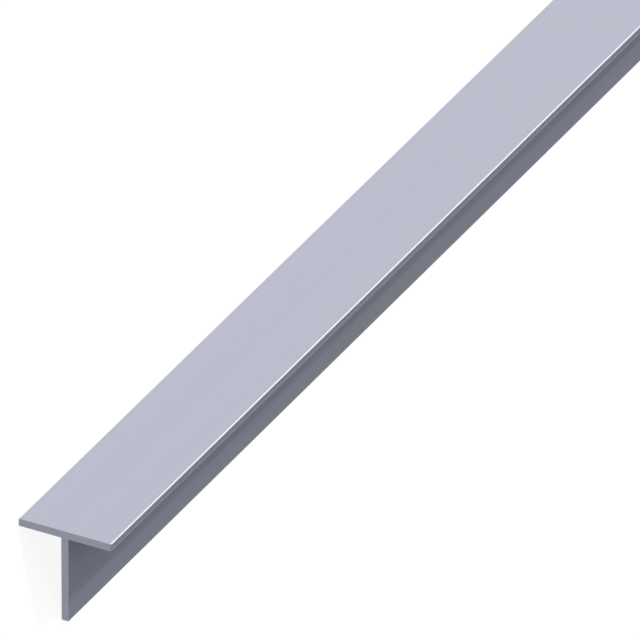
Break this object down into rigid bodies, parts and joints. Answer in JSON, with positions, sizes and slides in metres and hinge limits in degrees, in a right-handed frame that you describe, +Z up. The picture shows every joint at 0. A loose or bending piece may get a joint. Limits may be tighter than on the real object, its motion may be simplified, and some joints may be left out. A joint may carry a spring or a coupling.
{
  "type": "aluminium t profile",
  "caption": "Straight extruded aluminium bar of T section with equal flange and stem, sawn square at both ends; stock for edging, dividing panels and light framing.",
  "frame": {"origin": "on the floor, under the middle of the bar's box, halfway along its length", "axes": "+X along the length, towards the end that shows in the picture; +Z up from the floor the bar lies on; +Y level, towards the tip of the stem"},
  "size_m": [1, 0.0282, 0.023],
  "materials": {
    "aluminium": "satin, as extruded, with fine die lines along the length"
  },
  "bodies": {
    "root": {"t_profile": "aluminium"}
  },
  "joints": []
}
